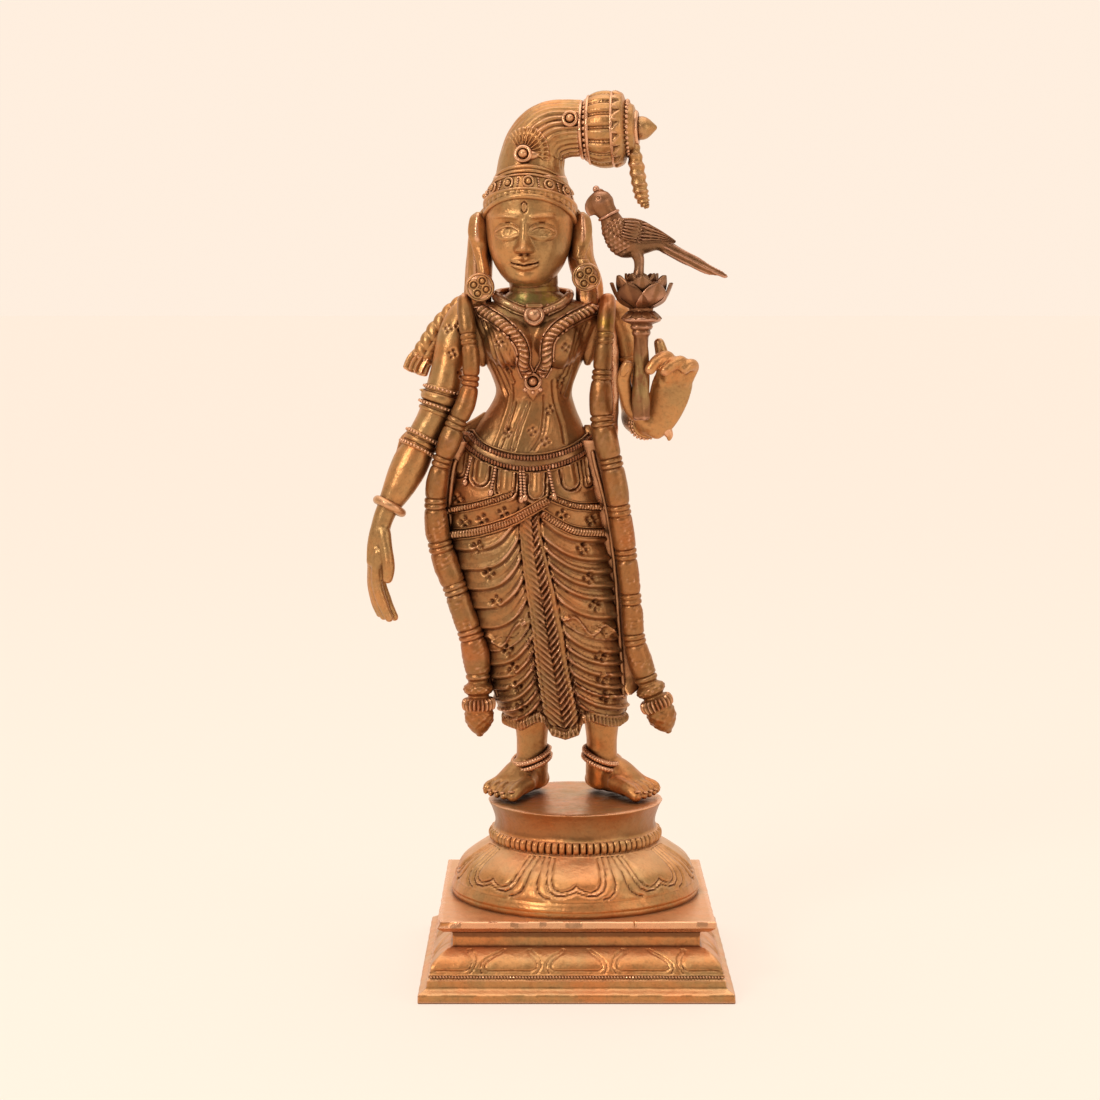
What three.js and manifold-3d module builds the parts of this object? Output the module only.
// A cast brass goddess standing on a lotus plinth, one hand lowered, the other holding a lotus
// stem on which a parrot sits. Her hair leans sideways in a long curved bun, and a bead garland
// hangs from each shoulder to the hem of her skirt.
// Millimetres, +Z up, front towards -Y, +X to the viewer's right. The origin is at the centre of
// the plinth's underside.

import * as THREE from 'three';
import { mergeVertices } from 'three/addons/utils/BufferGeometryUtils.js';
import Module from 'manifold-3d';

const wasm = await Module();
wasm.setup();

// Driving sizes of the square plinth
const baseWidth = 115;
const baseHeight = 5;
const bandWidth = 108.5;
const bandHeight = 4.4;
const coveHeight = 8.8;
const coveTopWidth = 95;
const neckWidth = 90;
const neckHeight = 5.4;
const slabWidth = 101;
const slabHeight = 2.6;
const slabUndercut = 2.4;
const covePetalsPerSide = 5;
const covePetalRelief = 0.9;

// Driving sizes of the round lotus pedestal above it
const domeRadius = 46.6;
const rimHeight = 2;
const domeHeight = 18.4;
const domePetals = 8;
const domePetalRelief = 1.1;
const drumRadius = 30.4;
const drumHeight = 15;
const platformRadius = 32.6;
const ringRadius = 32.4;
const ringHalfHeight = 2.3;
const ringBeads = 18;
const ringBeadRelief = 0.5;

// Driving sizes of the figure and of what it holds
const figureHeight = 266;
const stemRadius = 3.3;
const stemLength = 40.4;
const collarRadius = 7.2;
const gripClearance = 0.4;
const lotusRadius = 10.8;
const lotusHeight = 14;
const lotusPetals = 8;
const parrotLength = 60;
const seatGap = 0.3;

// Heights that follow from the sizes above
const bandTop = baseHeight + bandHeight;
const coveTop = bandTop + coveHeight;
const slabBottom = coveTop + neckHeight + slabUndercut;
const slabTop = slabBottom + slabHeight;
const domeTop = slabTop + rimHeight + domeHeight;
const platformTop = domeTop + drumHeight;
const soleHeight = platformTop + seatGap;

// The figure's own unit: tables of its pose and carving are in hundredths of its height
const hundredth = figureHeight / 100;

// Height of the stem's cut end above the soles, in hundredths of the figure
const stemFoot = 54.4;

// How high in the open flower the parrot stands, as a share of the flower
const seatShare = 0.8;

// How deep joined blocks of the plinth reach into each other
const sink = 1;

// Colours of the finish
const brass = new THREE.MeshStandardMaterial({ color: 0xb98049, metalness: 0.9, roughness: 0.45 });
const darkBrass = new THREE.MeshStandardMaterial({ color: 0x94623f, metalness: 0.9, roughness: 0.5 });
const warmBrass = new THREE.MeshStandardMaterial({ color: 0xc07f45, metalness: 0.9, roughness: 0.42 });

const FRONT = new THREE.Vector3(0, -1, 0);
const UP = new THREE.Vector3(0, 0, 1);
const TURN = 2 * Math.PI;

// A closed three.js geometry as a solid that can be joined and cut
function solid(geometry) {
  const bare = geometry.clone();
  bare.deleteAttribute('normal');
  bare.deleteAttribute('uv');
  const merged = mergeVertices(bare, 1e-4);
  const place = merged.attributes.position;
  const faces = [];
  let volume = 0;
  const [a, b, c] = [new THREE.Vector3(), new THREE.Vector3(), new THREE.Vector3()];
  for (let i = 0; i < merged.index.count; i += 3) {
    const [p, q, r] = [0, 1, 2].map((corner) => merged.index.getX(i + corner));
    if (p === q || q === r || r === p) continue;
    faces.push([p, q, r]);
    a.fromBufferAttribute(place, p);
    b.fromBufferAttribute(place, q);
    c.fromBufferAttribute(place, r);
    volume += a.dot(b.cross(c));
  }
  const triVerts = new Uint32Array(faces.flatMap(([p, q, r]) => (volume < 0 ? [p, r, q] : [p, q, r])));
  const vertProperties = new Float32Array(place.array);
  return new wasm.Manifold(new wasm.Mesh({ numProp: 3, vertProperties, triVerts }));
}

// All the pieces of a list as one solid
function join(pieces) {
  return pieces.reduce((whole, piece) => whole.add(piece));
}

// The same with the small closed pockets between them filled with metal
function cast(pieces) {
  return join(join(pieces).decompose().filter((body) => body.volume() > 0));
}

// A finished solid as a geometry again, drawn at a scale
function geometryOf(shape, scale = 1) {
  const { vertProperties, triVerts } = shape.getMesh();
  const geometry = new THREE.BufferGeometry();
  geometry.setAttribute('position', new THREE.BufferAttribute(new Float32Array(vertProperties), 3));
  geometry.setIndex(Array.from(triVerts));
  geometry.scale(scale, scale, scale);
  return geometry;
}

function node(name, geometry, material, [x, y, z] = [0, 0, 0]) {
  geometry.computeVertexNormals();
  const mesh = new THREE.Mesh(geometry, material);
  mesh.name = name;
  mesh.position.set(x, y, z);
  return mesh;
}

// The row of a table at a share of its length, carried smoothly from row to row
function rowAt(table, share) {
  const last = table.length - 1;
  const place = THREE.MathUtils.clamp(share, 0, 1) * last;
  const i = Math.min(Math.floor(place), last - 1);
  const t = place - i;
  return table[i].map((value, column) => {
    const next = table[i + 1][column];
    const before = i > 0 ? table[i - 1][column] : value;
    const after = i + 2 <= last ? table[i + 2][column] : next;
    const leave = (next - before) / 2;
    const arrive = (after - value) / 2;
    return value + t * leave
      + t * t * (3 * (next - value) - 2 * leave - arrive)
      + t * t * t * (leave + arrive - 2 * (next - value));
  });
}

function smooth(table, steps) {
  return Array.from({ length: steps + 1 }, (_, n) => rowAt(table, n / steps));
}

// The same with raised bands, each [share of the length, half width as a share, height]
function banded(table, steps, bands) {
  const even = Array.from({ length: steps + 1 }, (_, n) => n / steps);
  const clear = even.filter((share) => bands.every(([at, half]) => Math.abs(share - at) > 1.5 * half));
  const edges = bands.flatMap(([at, half]) => [at - half, at - 0.7 * half, at + 0.7 * half, at + half]);
  return [...clear, ...edges].sort((a, b) => a - b).map((share) => {
    const [x, y, z, width, depth] = rowAt(table, share);
    const band = bands.find(([at, half]) => Math.abs(share - at) < 0.85 * half);
    const raise = band ? band[2] : 0;
    return [x, y, z, width + raise, depth + raise];
  });
}

// A closed solid skinned over sections that stand across their path, or level where that is
// asked. Each row is [x, y, z, half width, half depth]. relief(angle, row) adds to the radius,
// and angle 0 faces the front.
function skin(rows, sides, { level = false, facing = FRONT, relief = () => 0 } = {}) {
  const geometry = new THREE.CylinderGeometry(1, 1, 1, sides, rows.length - 1);
  const centres = rows.map(([x, y, z]) => new THREE.Vector3(x, y, z));
  const place = geometry.attributes.position;
  const point = new THREE.Vector3();
  for (let i = 0; i < place.count; i += 1) {
    point.fromBufferAttribute(place, i);
    const row = Math.round((point.y + 0.5) * (rows.length - 1));
    const [, , , halfWidth, halfDepth] = rows[row];
    const angle = Math.atan2(point.x, point.z);
    const out = Math.hypot(point.x, point.z);
    const ahead = centres[Math.min(row + 1, rows.length - 1)];
    const behind = centres[Math.max(row - 1, 0)];
    const path = level ? UP.clone() : ahead.clone().sub(behind).normalize();
    const depth = facing.clone().addScaledVector(path, -facing.dot(path)).normalize();
    const side = path.clone().cross(depth);
    const extra = relief(angle, rows[row]);
    point.copy(centres[row])
      .addScaledVector(side, out * Math.sin(angle) * (halfWidth + extra))
      .addScaledVector(depth, out * Math.cos(angle) * (halfDepth + extra));
    place.setXYZ(i, point.x, point.y, point.z);
  }
  return solid(geometry);
}

// A turned solid about the vertical axis, from a profile of [radius, height]
function turned(profile, sides, { relief = () => 0, at = [0, 0, 0] } = {}) {
  const geometry = new THREE.LatheGeometry(profile.map(([r, z]) => new THREE.Vector2(r, z)), sides);
  geometry.rotateX(Math.PI / 2);
  const place = geometry.attributes.position;
  for (let i = 0; i < place.count; i += 1) {
    const [x, y, z] = [place.getX(i), place.getY(i), place.getZ(i)];
    const r = Math.hypot(x, y);
    const grown = r < 1e-6 ? 1 : 1 + relief(Math.atan2(x, -y), r, z) / r;
    place.setXYZ(i, x * grown, y * grown, z);
  }
  geometry.translate(...at);
  return solid(geometry);
}

// A solid of level square sections, from a profile of [half width, height]. relief(share along
// the side, height) adds to the half width.
function squared(profile, stepsPerSide = 1, relief = () => 0) {
  const sides = 4 * stepsPerSide;
  const geometry = new THREE.CylinderGeometry(1, 1, 1, sides, profile.length - 1);
  const place = geometry.attributes.position;
  const corner = new THREE.Vector3();
  for (let i = 0; i < place.count; i += 1) {
    const row = Math.round((place.getY(i) + 0.5) * (profile.length - 1));
    const [halfWidth, height] = profile[row];
    const out = Math.hypot(place.getX(i), place.getZ(i));
    const turn = (Math.atan2(place.getX(i), place.getZ(i)) + TURN) % TURN;
    const step = Math.round((turn / TURN) * sides) % sides;
    const share = (step % stepsPerSide) / stepsPerSide;
    const half = out * (halfWidth + relief(share, height));
    corner.set((2 * share - 1) * half, -half, 0);
    corner.applyAxisAngle(UP, (Math.floor(step / stepsPerSide) * TURN) / 4);
    place.setXYZ(i, corner.x, corner.y, height);
  }
  return solid(geometry);
}

// A rounded lump with its own three half sizes
function lump([x, y, z], [rx, ry, rz], sides = 8, rows = 5) {
  const geometry = new THREE.SphereGeometry(1, sides, rows);
  geometry.rotateX(Math.PI / 2);
  geometry.scale(rx, ry, rz);
  geometry.translate(x, y, z);
  return solid(geometry);
}

// The figure, in hundredths of its height, from its soles at 0 to the top of its hair at 100.

// Garlands of long beads with a collar at each joint. A collar is [x, y, z, radius]
const leftCollars = [
  [-15.6, -0.8, 70.9, 1.0], [-15.0, -2.4, 65.8, 1.05], [-14.9, -2.7, 60.0, 1.1], [-16.8, -2.8, 53.8, 1.05],
  [-18.8, -2.8, 48.2, 1.05], [-19.6, -2.5, 42.4, 1.2], [-19.0, -1.9, 36.6, 1.35], [-17.0, -1.5, 30.3, 1.45],
  [-14.9, -1.2, 24.0, 1.5], [-13.9, -0.8, 17.2, 1.4],
];
const rightCollars = [
  [4.4, -0.6, 72.4, 1.0], [4.1, -3.3, 65.4, 1.05], [3.6, -3.5, 60.2, 1.15], [3.6, -3.7, 54.2, 1.4],
  [4.9, -3.5, 48.4, 1.3], [6.0, -3.1, 41.6, 1.45], [7.0, -2.4, 35.4, 1.4], [7.7, -1.9, 28.8, 1.35],
  [8.3, -1.5, 23.0, 1.35], [10.2, -1.1, 16.9, 1.4],
];
const leftTip = [-13.6, -0.8, 9.2];
const rightTip = [13.3, -0.9, 9.6];
const beadSwell = 1.25;
const beadDepth = 1.05;
const finial = [[0.12, 2.05], [0.24, 1.5], [0.42, 2.2], [0.6, 1.8], [1, 0.2]];

function garland(collars, tip) {
  const toward = (from, to, share) => from.map((value, n) => value + share * (to[n] - value));
  const row = ([x, y, z], radius) => [x, y, z, radius, beadDepth * radius];
  const beads = collars.flatMap((collar, n) => {
    if (n === collars.length - 1) return [row(collar, collar[3])];
    const next = collars[n + 1];
    const radius = (share) => beadSwell * (collar[3] + share * (next[3] - collar[3]));
    const swell = [0.15, 0.85].map((share) => row(toward(collar, next, share), radius(share)));
    return [row(collar, collar[3]), ...swell];
  });
  const end = collars[collars.length - 1].slice(0, 3);
  const tassel = finial.map(([share, radius]) => row(toward(end, tip, share), radius));
  return skin([...beads, ...tassel], 5);
}

// Body from hem to neck: [x, y, z, half width, half depth]
const bodyTable = [
  [-1.3, 2.6, 9.8, 8.3, 5.2], [-1.8, 2.4, 13.0, 8.7, 5.3], [-2.7, 2.2, 17.0, 9.2, 5.5],
  [-3.4, 2.1, 21.0, 9.6, 5.7], [-4.3, 2.0, 25.4, 10.2, 5.9], [-5.2, 1.9, 29.7, 10.7, 6.2],
  [-6.2, 1.9, 34.0, 11.1, 6.4], [-6.9, 2.0, 38.3, 11.3, 6.5], [-7.1, 2.1, 41.2, 11.2, 6.5],
  [-7.3, 2.2, 44.0, 10.9, 6.4], [-7.3, 2.2, 46.9, 10.4, 6.1], [-7.2, 2.2, 49.0, 9.8, 5.8],
  [-7.0, 2.2, 51.2, 9.0, 5.4], [-6.6, 2.2, 53.4, 7.6, 4.9], [-6.1, 2.1, 55.8, 6.1, 4.4],
  [-5.9, 2.0, 58.0, 5.4, 4.3], [-5.9, 1.9, 60.2, 6.0, 4.4], [-5.9, 1.8, 62.5, 7.1, 4.6],
  [-5.7, 1.7, 64.7, 8.0, 4.8], [-5.6, 1.7, 66.7, 9.2, 4.8], [-5.5, 1.7, 68.4, 10.2, 4.4],
  [-5.5, 1.6, 69.8, 9.4, 3.8], [-5.6, 1.5, 70.9, 5.4, 3.4], [-5.8, 1.4, 72.0, 3.7, 3.2],
  [-5.9, 1.2, 74.4, 3.4, 3.1],
];

// Skirt folds: each rises to the two seams of the front pleat and falls away round the legs
const foldCount = 10;
const foldPitch = 3.2;
const foldRelief = 0.36;
const hemPeak = 11.45;
const pleatTop = { z: 38.3, x: -5.9, half: 1.8 };
const pleatFoot = { z: 9.2, x: -1.5, half: 2.7 };
const pleatDepth = 1.1;
const foldSpread = 3;
const leftFall = { top: 4.4, foot: 1.8 };
const rightFall = { top: 5.8, foot: 1.4 };

// Height up to which a web ties the garlands to the body
const webTop = 52;

// Girdle: two cords that sag from hip to hip, as [height, relief]
const girdleMiddle = -6.6;
const girdleSag = 0.034;
const girdleRows = [[47.3, 0], [47.5, 0.5], [48.6, 0.15], [49.7, 0.6], [49.9, 0]];
const torsoHeights = [55.4, 58.4, 61.4, 64.6, 67.4, 69.4, 70.6, 72, 74.4];

function pleatAt(z) {
  const t = THREE.MathUtils.clamp((pleatTop.z - z) / (pleatTop.z - pleatFoot.z), 0, 1);
  const along = (name) => pleatTop[name] + t * (pleatFoot[name] - pleatTop[name]);
  return { t, middle: along('x'), half: along('half') };
}

// How far a fold lies below its seams
function foldDrop(x, z) {
  const { t, middle, half } = pleatAt(z);
  const off = Math.abs(x - middle);
  if (off < half) return pleatDepth * (half - off);
  const fall = x < middle ? leftFall : rightFall;
  return (fall.top + t * (fall.foot - fall.top)) * (1 - Math.exp((half - off) / foldSpread));
}

function bodySection(z) {
  const last = bodyTable.length - 1;
  const above = bodyTable.findIndex((row) => row[2] > z);
  if (above < 0) return bodyTable[last];
  const i = Math.max(above - 1, 0);
  return rowAt(bodyTable, (i + (z - bodyTable[i][2]) / (bodyTable[i + 1][2] - bodyTable[i][2])) / last);
}

// Rows of the body as [height, relief, share of the fold drop, share of the girdle's sag]
function bodyRows() {
  const folds = Array.from({ length: 2 * foldCount + 1 }, (_, n) => (
    [hemPeak + (n * foldPitch) / 2, n % 2 ? -foldRelief : foldRelief, 1, 0]));
  const girdle = girdleRows.map(([z, raise]) => [z, raise, 0, 1]);
  const torso = torsoHeights.map((z) => [z, 0, 0, 0]);
  return [...folds, [45.6, 0, 0.4, 0], ...girdle, [52.6, 0, 0, 0.5], ...torso];
}

// The body's columns follow the pleat: four from each flank to its seam, one each side of the
// middle of the pleat, and five round the back
const flankColumns = 4;
const backColumns = 5;

function columnAngle(column, z) {
  const { middle, half } = pleatAt(z);
  const [centre, , , halfWidth] = bodySection(z);
  const [left, mid, right] = [-half, 0, half].map((off) => Math.asin((middle + off - centre) / halfWidth));
  const quarter = TURN / 4;
  if (column <= flankColumns) return -quarter + (column / flankColumns) * (left + quarter);
  if (column === flankColumns + 1) return mid;
  const past = column - flankColumns - 2;
  if (past <= flankColumns) return right + (past / flankColumns) * (quarter - right);
  return quarter + ((past - flankColumns) / backColumns) * 2 * quarter;
}

// Where a garland runs at a height, or nothing where the web between it and the body has ended
function garlandAt(collars, z) {
  const below = collars.findIndex((collar) => collar[2] < z);
  if (z > webTop || below < 1) return null;
  const [upper, lower] = [collars[below - 1], collars[below]];
  const share = (upper[2] - z) / (upper[2] - lower[2]);
  return upper.map((value, n) => value + share * (lower[n] - value));
}

// The flank columns of the skirt are drawn out to the garlands, as the webs they hang on
function flankTo(column) {
  if (column === 0) return leftCollars;
  return column === 2 * flankColumns + 2 ? rightCollars : null;
}

function body() {
  const rows = bodyRows();
  const columns = 2 * flankColumns + 2 + backColumns;
  const geometry = new THREE.CylinderGeometry(1, 1, 1, columns, rows.length - 1);
  const place = geometry.attributes.position;
  for (let i = 0; i < place.count; i += 1) {
    const [height, raise, fold, sag] = rows[Math.round((place.getY(i) + 0.5) * (rows.length - 1))];
    const out = Math.hypot(place.getX(i), place.getZ(i));
    const turn = (Math.atan2(place.getX(i), place.getZ(i)) / TURN + 1) % 1;
    const column = Math.round(turn * columns) % columns;
    const angle = columnAngle(column, height);
    const [levelX, , , levelWidth] = bodySection(height);
    const levelPlace = levelX + levelWidth * Math.sin(angle);
    const rise = sag * girdleSag * (levelPlace - girdleMiddle) ** 2;
    const z = height - fold * foldDrop(levelPlace, height) + rise;
    const [x, y, , halfWidth, halfDepth] = bodySection(z);
    const hang = out > 0.5 && flankTo(column) ? garlandAt(flankTo(column), z) : null;
    if (hang) place.setXYZ(i, hang[0], hang[1], z);
    else {
      place.setXYZ(i, x + out * (halfWidth + raise) * Math.sin(angle),
        y - out * (halfDepth + raise) * Math.cos(angle), out < 0.5 ? height : z);
    }
  }
  const breast = (x) => lump([x, -2.0, 65.0], [3.3, 3.0, 3.5], 9, 5);
  return join([solid(geometry), breast(-9.3), breast(-2.5)]);
}

// The row of tabs that hangs from the girdle
const tabCentres = [-15.2, -12.3, -8.9, -5.2, -1.0, 1.9];

function girdleTabs() {
  return join(tabCentres.map((x) => {
    const top = girdleRows[0][0] + 0.6 + girdleSag * (x - girdleMiddle) ** 2;
    const [centre, y, , halfWidth, halfDepth] = bodySection(top - 2.5);
    const front = y - halfDepth * Math.sqrt(1 - ((x - centre) / (halfWidth + 0.4)) ** 2);
    const rows = [[0, 1.2, 0.5], [3.2, 1.4, 0.7], [4.6, 0.7, 0.4]].map(([drop, halfWidth, halfDepth]) => (
      [x, front, top - drop, halfWidth, halfDepth]));
    return skin(rows, 4, { level: true });
  }));
}

// Collar, the two-sided necklace, its pendant and the locket at the throat
function necklace() {
  const strand = (points) => skin(smooth(points, 4), 4);
  const left = strand([
    [-12.2, -1.4, 69.0, 0.8, 0.7], [-10.2, -3.8, 66.6, 0.9, 0.7], [-7.8, -4.4, 63.6, 1.0, 0.7],
    [-6.4, -3.0, 60.0, 1.0, 0.7]]);
  const right = strand([
    [0.6, -1.4, 69.2, 0.8, 0.7], [-1.6, -3.8, 66.6, 0.9, 0.7], [-3.9, -4.4, 63.6, 1.0, 0.7],
    [-5.3, -3.0, 60.0, 1.0, 0.7]]);
  const collar = skin([
    [-5.7, 0.6, 69.2, 5.4, 4.4], [-5.7, 0.6, 70.2, 5.5, 4.5], [-5.7, 0.9, 71.7, 4.0, 3.7]],
  9, { level: true });
  const pendant = lump([-5.85, -2.9, 59.3], [1.3, 1.0, 1.9], 6, 4);
  const locket = lump([-5.6, -3.2, 68.8], [1.3, 1.3, 1.1], 6, 4);
  return join([left, right, collar, pendant, locket]);
}

// Head from chin to crown
const headTable = [
  [-6.4, -2.4, 73.1, 0.9, 1.2], [-6.4, -1.2, 73.9, 2.7, 3.2], [-6.4, -0.2, 75.5, 4.4, 4.9],
  [-6.4, 0.3, 77.7, 5.5, 5.8], [-6.4, 0.7, 80.2, 6.1, 6.3], [-6.4, 0.9, 82.8, 6.2, 6.5],
  [-6.4, 1.0, 85.4, 5.9, 6.4], [-6.4, 1.1, 88.0, 5.1, 5.8],
];

function head() {
  const skull = skin(smooth(headTable, 6), 12, { level: true });
  const nose = skin([
    [-6.5, -5.4, 82.2, 0.45, 0.6], [-6.5, -6.2, 78.2, 1.0, 1.2], [-6.5, -5.4, 77.2, 0.9, 0.7]],
  5, { level: true });
  const lips = lump([-6.45, -4.9, 75.7], [1.6, 0.9, 0.65], 6, 4);
  const eye = (x) => lump([x, -4.9, 80.2], [1.6, 0.9, 0.8], 6, 4);
  const ear = (x, foot) => skin([
    [x, 1.6, 83.2, 0.6, 0.8], [x, 1.4, 80.6, 1.0, 1.7], [x, 1.5, 77.0, 0.9, 1.2],
    [foot, 1.2, 73.4, 1.3, 1.2], [foot, 1.6, 69.4, 1.4, 1.4]], 6);
  const band = skin([
    [-6.4, 1.0, 85.5, 6.1, 6.6], [-6.4, 1.0, 85.9, 6.5, 7.0], [-6.4, 1.0, 87.8, 6.1, 6.6],
    [-6.4, 1.0, 88.2, 5.6, 6.1]], 11, { level: true });
  return join([skull, nose, lips, eye(-9.1), eye(-3.8), ear(-13.0, -13.6), ear(0.7, 1.6), band]);
}

// Discs worn at the ears, in front of the shoulders
function earDisc(x, z) {
  const geometry = new THREE.CylinderGeometry(1.5, 1.95, 2, 8);
  geometry.rotateX(Math.PI / 2);
  geometry.translate(x, -1.4, z);
  return solid(geometry);
}

// Hair, drawn up and bent over to one side, and the bun at its end as [distance, radius]
const hairTable = [
  [-6.5, 1.4, 86.6, 5.7, 6.0], [-6.6, 1.5, 89.0, 5.0, 5.2], [-6.3, 1.4, 91.4, 4.7, 4.7],
  [-5.3, 1.2, 93.5, 4.4, 4.4], [-3.6, 0.9, 94.8, 4.0, 4.0], [-1.6, 0.6, 95.0, 3.7, 3.7],
  [0.6, 0.3, 94.6, 3.8, 3.8],
];
const hairRidges = 6;
const hairRelief = 0.16;
const bunStart = [0.2, 0.3, 94.5];
const bunAxis = [1, -0.12, -0.03];
const bunProfile = [
  [0, 3.7], [0.4, 4.5], [1.5, 4.5], [1.9, 5.1], [3.2, 5.5], [4.6, 5.3], [6.7, 4.9], [7.3, 3.2],
];
const tipProfile = [[7, 1.4], [8.0, 1.9], [9.4, 1.5], [11.2, 0.15]];
const bunFlutes = 9;
const fluteRelief = 0.28;

function hair() {
  const ridged = (angle) => hairRelief * Math.cos(hairRidges * angle);
  const lock = skin(smooth(hairTable, 5), 2 * hairRidges, { relief: ridged });
  const axis = new THREE.Vector3(...bunAxis).normalize();
  const rowsOf = (profile) => profile.map(([distance, radius]) => {
    const centre = new THREE.Vector3(...bunStart).addScaledVector(axis, distance);
    return [centre.x, centre.y, centre.z, radius, radius];
  });
  const fluted = (angle, row) => (row[3] > 5 ? fluteRelief * Math.cos(bunFlutes * angle) : 0);
  const bun = skin(rowsOf(bunProfile), 2 * bunFlutes, { relief: fluted });
  const tip = skin(rowsOf(tipProfile), 7);
  const tassel = skin([
    [7.6, -1.2, 91.8, 1.0, 1.0], [8.4, -1.5, 86.0, 1.0, 0.9], [9.3, -1.4, 83.6, 0.6, 0.5]], 6);
  const boss = lump([-7.8, -3.4, 91.0], [1.1, 0.8, 1.1], 6, 4);
  const smallBoss = lump([-0.9, -3.3, 96.0], [0.9, 0.7, 0.9], 6, 4);
  return join([lock, bun, tip, tassel, boss, smallBoss]);
}

// Arm of the lowered hand
const loweredArm = [
  [-14.2, 1.6, 69.2, 1.8, 2.0], [-16.0, 1.3, 68.0, 2.4, 2.5], [-17.2, 0.8, 65.4, 2.4, 2.6],
  [-17.9, 0.4, 62.0, 2.4, 2.6], [-18.5, 0.0, 58.6, 2.5, 2.7], [-19.7, -0.2, 54.8, 2.4, 2.6],
  [-21.6, -0.6, 51.2, 2.3, 2.4], [-23.4, -1.2, 47.6, 2.6, 2.5], [-25.0, -1.9, 44.4, 2.2, 2.2],
  [-26.5, -2.4, 41.6, 1.6, 1.7], [-27.4, -2.8, 39.4, 1.4, 1.4], [-27.8, -3.0, 36.6, 1.6, 1.1],
  [-27.9, -3.2, 33.8, 1.5, 1.0],
];
const loweredBands = [[0.35, 0.025, 0.4], [0.47, 0.02, 0.35], [0.755, 0.016, 0.75]];

function loweredArmAndHand() {
  const limb = skin(banded(loweredArm, 9, loweredBands), 7);
  const finger = (x, y, reach) => skin([[x, y, 34.8, 0.6, 0.65], [x - 0.3, y, 31.2, 0.65, 0.6],
    [x + 0.4 + reach / 2, y + 0.1, 28.4, 0.6, 0.55], [x + 1.2 + reach, y + 0.3, 26.2, 0.3, 0.3]], 4);
  const thumb = skin([[-27.2, -3.7, 37.0, 0.8, 0.8], [-26.7, -4.5, 33.6, 0.6, 0.6],
    [-26.6, -4.6, 31.2, 0.35, 0.35]], 4);
  const fingers = [[-28.6, -2.5, -0.3], [-28.2, -3.2, 0], [-27.7, -3.6, 0.2], [-27.2, -2.8, 0.2]];
  return join([limb, ...fingers.map((place) => finger(...place)), thumb]);
}

// Arm of the raised hand, whose palm faces the front with the stem before it
const stemPlace = [8.9, -8.6];
const raisedUpperArm = [
  [4.0, 1.6, 69.2, 1.8, 2.0], [5.8, 1.6, 68.2, 2.3, 2.3], [7.0, 2.0, 65.4, 2.2, 2.3],
  [7.8, 2.6, 61.0, 2.2, 2.3], [8.3, 3.0, 57.0, 2.1, 2.2], [8.5, 2.8, 54.2, 1.7, 1.7],
];
const raisedBands = [[0.56, 0.04, 0.4]];
const raisedForearm = [
  [8.4, 3.6, 54.8, 1.9, 1.9], [8.6, 1.0, 54.0, 2.2, 2.1], [9.2, -2.2, 53.6, 2.0, 2.0],
  [9.9, -4.6, 53.6, 1.8, 1.6], [10.8, -5.8, 54.4, 1.9, 1.4],
];
const wristBands = [[0.72, 0.05, 0.35]];
const palmTable = [
  [10.4, -5.6, 53.4, 1.6, 1.2], [11.0, -6.0, 55.4, 2.4, 1.2], [11.9, -6.3, 58.0, 2.9, 1.0],
  [12.9, -6.6, 60.6, 2.6, 0.9],
];

function raisedArmAndHand() {
  const upper = skin(banded(raisedUpperArm, 4, raisedBands), 7);
  const forearm = skin(banded(raisedForearm, 3, wristBands), 7, { facing: UP });
  const palm = skin(palmTable, 6);
  const [x, y] = stemPlace;
  const grip = (stemRadius + gripClearance) / hundredth + 0.5;
  const digit = (points) => skin(points, 4);
  const index = digit([
    [11.9, -6.4, 59.4, 0.9, 0.8], [11.9, -6.4, 62.6, 0.75, 0.75], [11.4, -6.8, 65.2, 0.55, 0.55]]);
  const middle = digit([[12.6, -6.8, 60.2, 0.9, 0.8], [x + grip + 2.2, y - 0.4, 62.8, 0.8, 0.8],
    [x + 1.4, y - grip, 62.0, 0.75, 0.75], [x - 0.4, y - grip, 60.6, 0.55, 0.55]]);
  const third = digit([[13.8, -6.9, 60.2, 0.9, 0.8], [x + grip + 3.2, y - 0.8, 62.0, 0.8, 0.8],
    [x + 2.6, y - grip - 0.3, 61.2, 0.75, 0.75], [x + 1.2, y - grip - 0.2, 59.8, 0.55, 0.55]]);
  const little = digit([
    [14.6, -6.8, 59.8, 0.8, 0.7], [15.6, -7.6, 61.6, 0.8, 0.75], [14.6, -8.8, 61.8, 0.55, 0.55]]);
  const thumb = digit([[9.4, -6.0, 54.6, 1.1, 0.9], [x - grip - 0.6, y + 1.4, 57.4, 0.9, 0.8],
    [x - grip - 0.3, y - 0.4, 60.2, 0.8, 0.7], [x - 1.0, y - grip, 61.8, 0.55, 0.55]]);
  return join([upper, forearm, palm, index, middle, third, little, thumb]);
}

// The web of metal that ties the right garland to the shoulder and the raised arm
const shoulderWeb = [
  [4.2, 0.2, 70.4, 1.2, 1.8], [4.9, -0.4, 64, 1.3, 2.2], [4.9, -0.4, 58, 1.4, 2.4],
  [4.8, -0.8, 51, 1.4, 2.6],
];

// The fringed braid that hangs behind the shoulder of the lowered arm
function shoulderBraid() {
  return skin([[-15.4, 2.6, 70.6, 1.3, 1.2], [-18.6, 3.0, 67.9, 1.9, 1.3], [-20.4, 2.8, 64.8, 1.9, 1.2],
    [-21.8, 2.6, 61.6, 1.5, 1.1]], 6);
}

// Legs and feet. A foot row is [share from heel to toes, half width, height], and the toes are
// ridges at its end
const footRows = [[0, 1.6, 2.6], [0.3, 2.2, 3.2], [0.75, 2.8, 1.55], [1, 2.6, 1.2]];
const toeRidge = 0.35;

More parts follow.
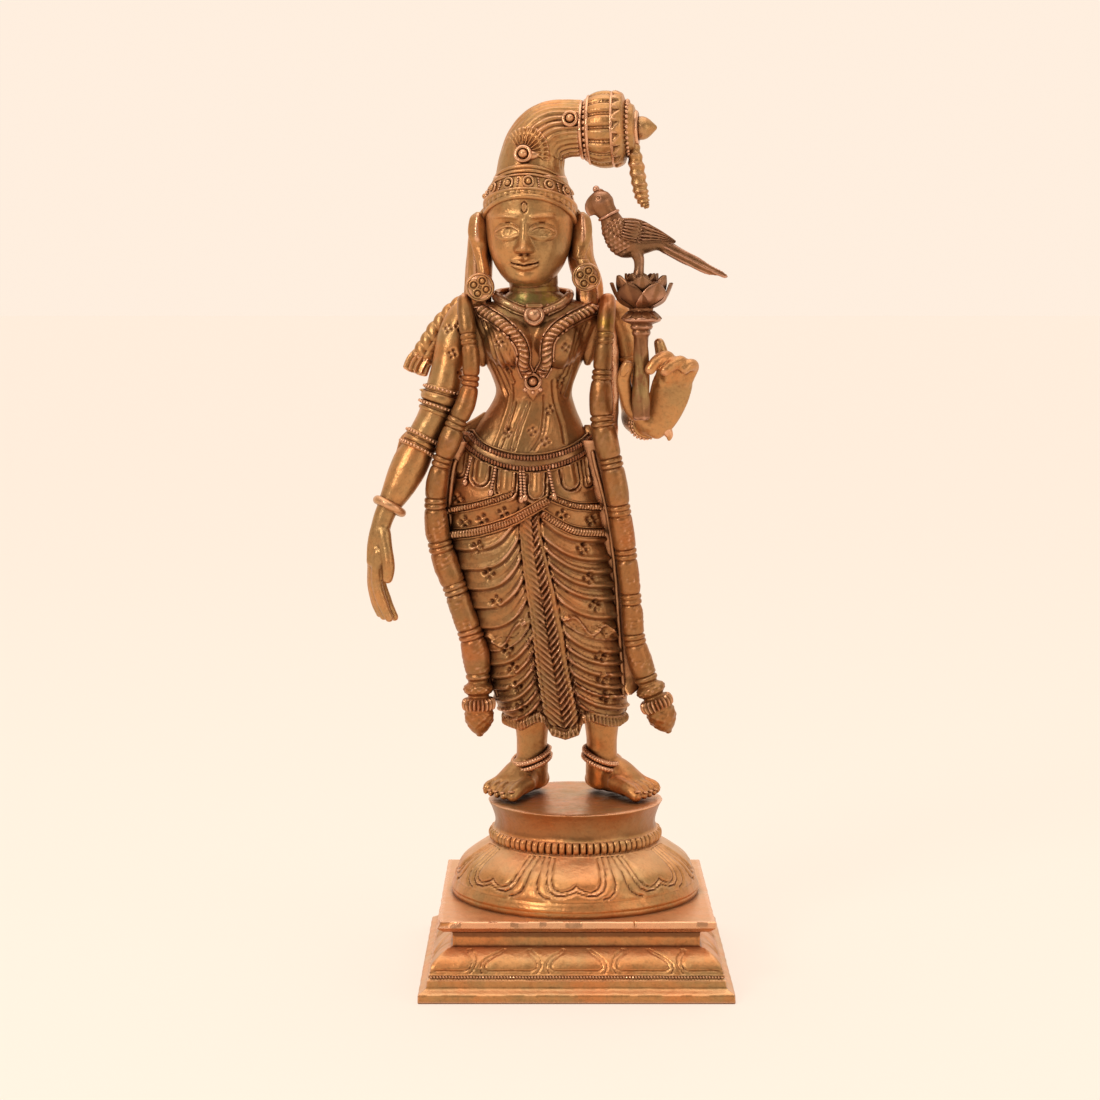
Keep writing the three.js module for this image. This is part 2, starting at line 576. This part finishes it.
function legAndFoot(ankleX, toeX, toeY) {
  const outward = Math.sign(toeX - ankleX);
  const leg = skin([
    [ankleX, 3.6, 12.5, 3.0, 3.0], [ankleX, 3.7, 7.4, 2.6, 2.8], [ankleX, 3.9, 4.4, 2.4, 2.6],
    [ankleX, 4.0, 4.3, 2.8, 3.1], [ankleX, 4.2, 3.6, 2.8, 3.1], [ankleX, 4.4, 1.5, 1.9, 2.2]],
  8, { level: true });
  const heel = new THREE.Vector2(ankleX - outward * 1.2, 6.6);
  const ahead = new THREE.Vector2(toeX - heel.x, toeY - heel.y);
  const rows = footRows.map(([share, halfWidth, height]) => (
    [heel.x + share * ahead.x, heel.y + share * ahead.y, height / 2, halfWidth, height / 2]));
  const toes = (angle, row) => (row[4] < 0.8 && Math.cos(angle) > 0 ? toeRidge * Math.cos(10 * angle) : 0);
  return join([leg, skin(rows, 20, { facing: UP, relief: toes })]);
}

function figure() {
  const all = cast([body(), girdleTabs(), necklace(), head(), earDisc(-13.4, 72.6), earDisc(1.8, 73.0), hair(),
    loweredArmAndHand(), raisedArmAndHand(), garland(leftCollars, leftTip), garland(rightCollars, rightTip),
    skin(shoulderWeb, 4), shoulderBraid(), legAndFoot(-5.7, -10.6, -2.4), legAndFoot(4.0, 9.6, -2.0)]);
  const boreRadius = (stemRadius + gripClearance) / hundredth;
  const boreProfile = [[0, 0], [boreRadius, 0], [boreRadius, 100], [0, 100]];
  const bore = turned(boreProfile, 12, { at: [...stemPlace, stemFoot] });
  const ground = turned([[0, -10], [100, -10], [100, 0], [0, 0]], 4);
  return all.subtract(bore).subtract(ground);
}

// Round pedestal: rim and dome with lotus petals, beaded ring and flared drum, in one profile
function pedestal() {
  const domeFoot = slabTop + rimHeight;
  const ringFoot = domeTop - ringHalfHeight;
  const arch = (t) => ringRadius + (domeRadius - ringRadius) * Math.sqrt(1 - t ** 1.9);
  const dome = [0, 0.14, 0.36, 0.58, 0.78, 1].map((t) => [arch(t), domeFoot + t * (ringFoot - domeFoot)]);
  const beads = [[ringRadius, domeTop], [ringRadius - ringHalfHeight / 2, domeTop + ringHalfHeight]];
  const drum = [[drumRadius, domeTop + 1.2 * ringHalfHeight], [drumRadius, domeTop + 0.45 * drumHeight]];
  const carving = (angle, r, z) => {
    if (Math.abs(z - domeTop) < 0.1) return ringBeadRelief * Math.cos(ringBeads * angle);
    const t = (z - domeFoot) / domeHeight;
    if (t < 0.1 || t > 0.8) return 0;
    return domePetalRelief * (Math.sqrt(Math.abs(Math.cos((domePetals / 2) * angle))) - 0.6);
  };
  return turned([[0, slabTop - sink], [domeRadius, slabTop - sink], ...dome, ...beads, ...drum,
    [platformRadius, platformTop], [0, platformTop]], 2 * ringBeads, { relief: carving });
}

// Square plinth with the round pedestal, cast as one
function plinth() {
  const foot = squared([
    [baseWidth / 2, 0], [baseWidth / 2, baseHeight], [bandWidth / 2, baseHeight], [bandWidth / 2, bandTop],
  ]);
  const leaves = (share, z) => {
    if (share === 0 || z <= bandTop || z >= coveTop) return 0;
    return covePetalRelief * (Math.sqrt(Math.abs(Math.sin(Math.PI * covePetalsPerSide * share))) - 0.5);
  };
  const coveInset = 1;
  const cove = squared([0, 0.4, 1].map((t) => [
    bandWidth / 2 - coveInset - t ** 1.6 * ((bandWidth - coveTopWidth) / 2 - coveInset),
    bandTop - sink + t * (coveHeight + sink)]), 3 * covePetalsPerSide, leaves);
  const upper = squared([
    [neckWidth / 2, coveTop - sink], [neckWidth / 2, slabBottom - slabUndercut],
    [slabWidth / 2, slabBottom], [slabWidth / 2, slabTop],
  ]);
  return join([foot, cove, upper, pedestal()]);
}

// Lotus stem in millimetres from its cut end: rod, collar and open flower
function lotusStem() {
  const collarFoot = stemLength - 1.1 * collarRadius;
  const rod = turned([[0, 0], [stemRadius, 0], [0.8 * stemRadius, collarFoot - stemRadius],
    [1.25 * stemRadius, collarFoot - 0.5 * stemRadius], [1.25 * stemRadius, collarFoot],
    [0.75 * collarRadius, collarFoot], [collarRadius, collarFoot + 0.35 * collarRadius],
    [0.7 * collarRadius, stemLength - 0.2 * collarRadius], [0.6 * collarRadius, stemLength + 1],
    [0, stemLength + 1]], 10);
  const seat = stemLength + seatShare * lotusHeight;
  const cup = [[0.42, 0], [0.78, 0.35], [1, 1]].map(([r, t]) => (
    [r * lotusRadius, stemLength + t * lotusHeight]));
  const petals = (angle, r) => {
    const open = Math.abs(Math.cos((lotusPetals / 2) * angle));
    return r > 0.7 * lotusRadius ? 0.12 * lotusRadius * (open - 0.8) : 0;
  };
  const profile = [[0, stemLength], ...cup, [0.5 * lotusRadius, seat], [0, seat]];
  return join([rod, turned(profile, 3 * lotusPetals, { relief: petals })]);
}

// Parrot, in hundredths of its length, beak towards -X and feet at the origin
const parrotTable = [
  [-24.5, 0, 48, 2, 2], [-25, 0, 43.5, 6.4, 6], [-23.5, 0, 38.5, 7, 6.6], [-19, 0, 32.5, 6.8, 6.8],
  [-12, 0, 24, 11, 9.5], [-4, 0, 18.5, 12, 10.5], [8, 0, 17, 8.4, 7.5], [17, 0, 12, 5, 4.6],
  [35, 0, 3, 4.2, 3], [50, 0, -3.5, 1.6, 1.2],
];

function parrot() {
  const trunk = skin(parrotTable, 8);
  const crest = skin([[-24.5, 0, 46, 2.2, 2], [-27, 0, 52, 0.8, 0.8]], 4);
  const beak = skin([[-28, 0, 42.5, 3, 2.6], [-32, 0, 39.5, 2.2, 2], [-31.5, 0, 34.5, 0.6, 0.6]], 5);
  const wing = (side) => skin([[-15, 8 * side, 27, 2.4, 1.4], [-6, 10.4 * side, 21, 7.2, 2.4],
    [8, 8.6 * side, 16, 5.4, 2], [24, 4.4 * side, 9.5, 1.6, 1.4]], 6);
  const leg = (side) => skin([[-3, 3.6 * side, 10, 3.4, 3.4], [-1, 3.6 * side, 3, 2.4, 2.4],
    [-1, 3.6 * side, -3, 3.4, 3]], 6);
  return join([trunk, crest, beak, wing(-1), wing(1), leg(-1), leg(1)]);
}

function stemAndParrot() {
  const bird = geometryOf(parrot(), parrotLength / 100);
  bird.translate(0, 0, stemLength + seatShare * lotusHeight);
  return join([lotusStem(), solid(bird)]);
}

const statue = new THREE.Group();
const stemAt = [...stemPlace.map((place) => place * hundredth), soleHeight + stemFoot * hundredth + seatGap];
statue.add(
  node('goddess_figure', geometryOf(figure(), hundredth), brass, [0, 0, soleHeight]),
  node('lotus_plinth', geometryOf(plinth()), warmBrass),
  node('parrot_stem', geometryOf(stemAndParrot()), darkBrass, stemAt),
);

export default statue;
